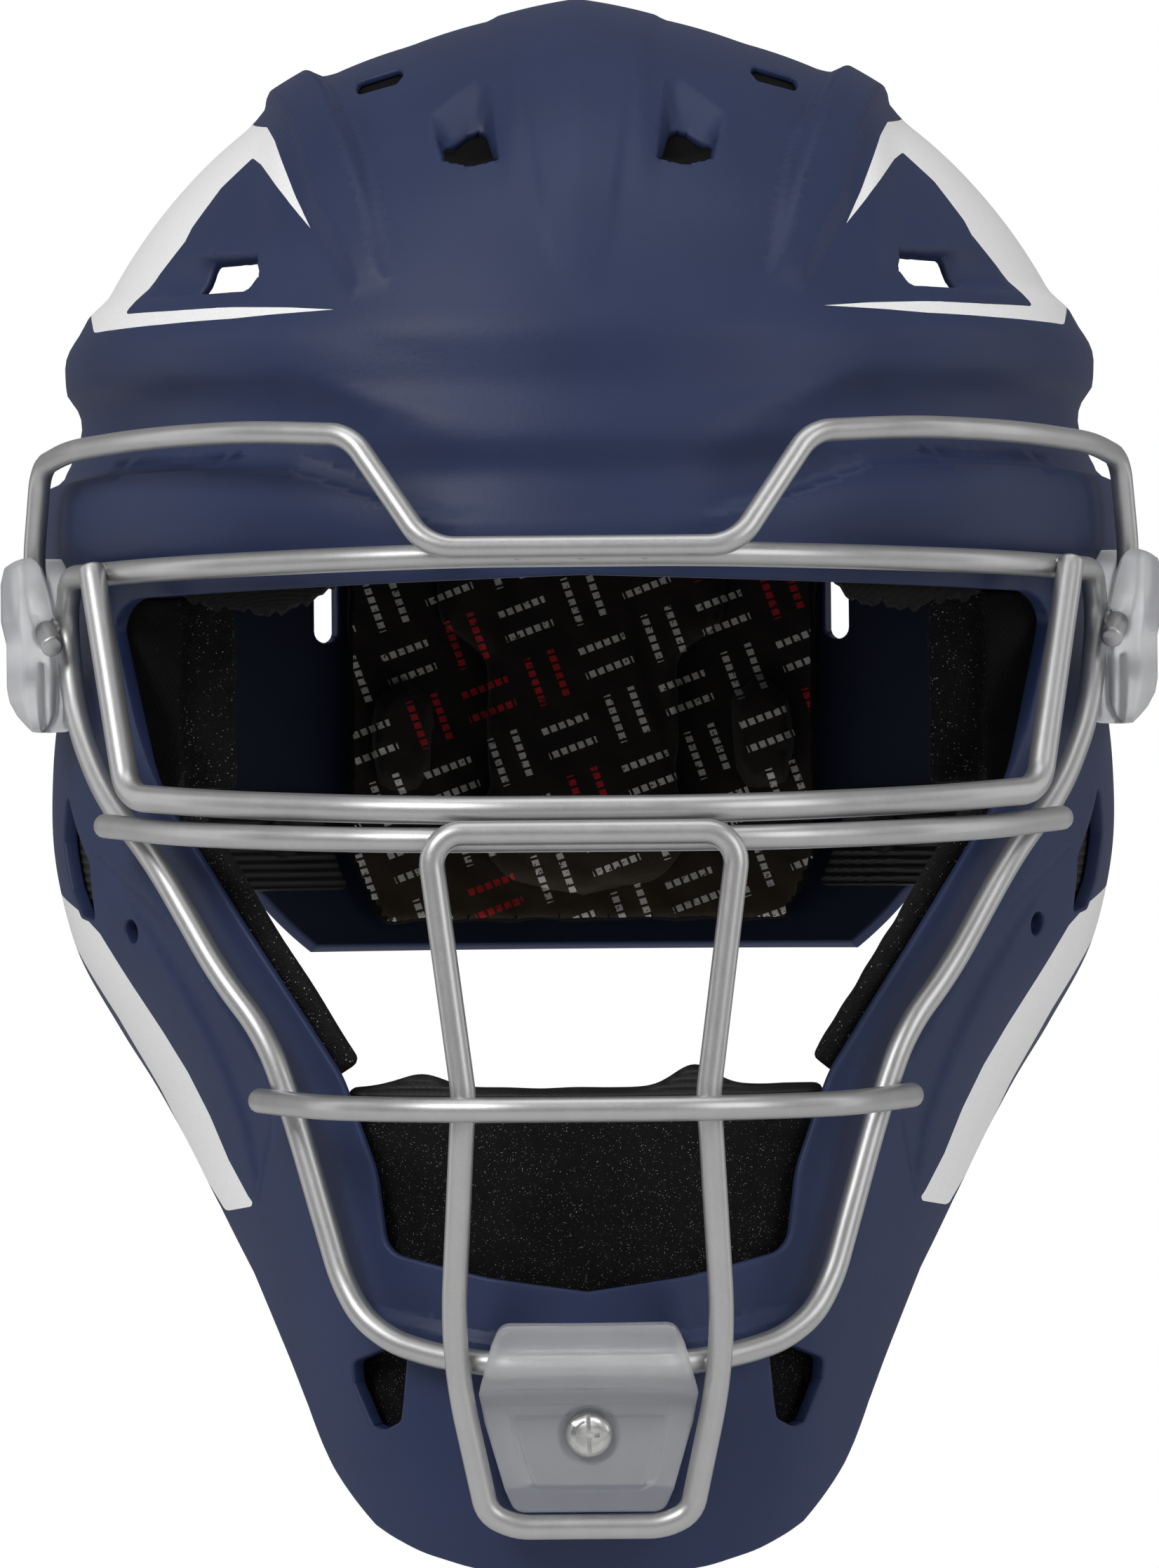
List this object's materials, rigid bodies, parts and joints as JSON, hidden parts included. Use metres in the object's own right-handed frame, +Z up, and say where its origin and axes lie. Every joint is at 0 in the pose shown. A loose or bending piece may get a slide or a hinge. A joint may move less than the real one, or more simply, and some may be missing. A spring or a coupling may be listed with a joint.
{
  "type": "baseball catcher helmet",
  "caption": "Baseball catcher helmet: one-piece crown and jaw shell, wire face cage held by clips, foam padding and a sprung rear plate that rocks at the crown.",
  "frame": {"origin": "centre of the head space at the height of a hat band, where the head holds the helmet", "axes": "+Z up towards the crown, -Y out of the face, +X to the viewer's right when the cage faces the viewer"},
  "size_m": [0.2412, 0.2813, 0.3226],
  "materials": {
    "shell": "fine matte navy",
    "cage_wire": "silver metallic paint",
    "clip_plastic": "frosted translucent",
    "liner_foam": "closed foam, skin side",
    "pad_foam": "cut closed foam",
    "print_fabric": "printed knit",
    "sling_fabric": "ribbed knit",
    "strap_elastic": "woven elastic",
    "screw_steel": "zinc",
    "nut_steel": "zinc",
    "anchor_plastic": "matte black"
  },
  "bodies": {
    "root": {"front_shell": "shell", "crown_liner": "liner_foam", "brow_pad": "print_fabric", "temple_pad_left": "pad_foam", "temple_pad_right": "pad_foam", "jaw_pad_left": "pad_foam", "jaw_pad_right": "pad_foam", "chin_pad": "pad_foam", "chin_sling": "sling_fabric", "cage_perimeter_loop": "cage_wire", "cage_brow_bar": "cage_wire", "cage_eye_frame": "cage_wire", "cage_upper_bar": "cage_wire", "cage_lower_bar": "cage_wire", "cage_muzzle_loop": "cage_wire", "side_clip_left": "clip_plastic", "side_clip_right": "clip_plastic", "chin_clip": "clip_plastic", "side_clip_screws": "screw_steel", "side_clip_nuts": "nut_steel", "chin_clip_screw": "screw_steel", "chin_clip_nut": "nut_steel", "crown_screws": "screw_steel", "crown_nuts": "nut_steel", "elastic_strap_left": "strap_elastic", "elastic_strap_right": "strap_elastic"},
    "rear_plate": {"rear_shell": "shell", "rear_liner": "liner_foam", "rear_pad_center": "print_fabric", "rear_pad_left": "print_fabric", "rear_pad_right": "print_fabric", "strap_anchors": "anchor_plastic"}
  },
  "joints": [
    {"name": "rear_plate_flex", "type": "hinge", "parent": "root", "child": "rear_plate", "pos_m": [0, 0.04, 0.0845], "axis": [1, 0, 0], "range_deg": [0, 10], "stiffness_Nm_per_rad": 10, "springref_deg": -5.73, "deforming": ["elastic_strap_left", "elastic_strap_right"]}
  ]
}
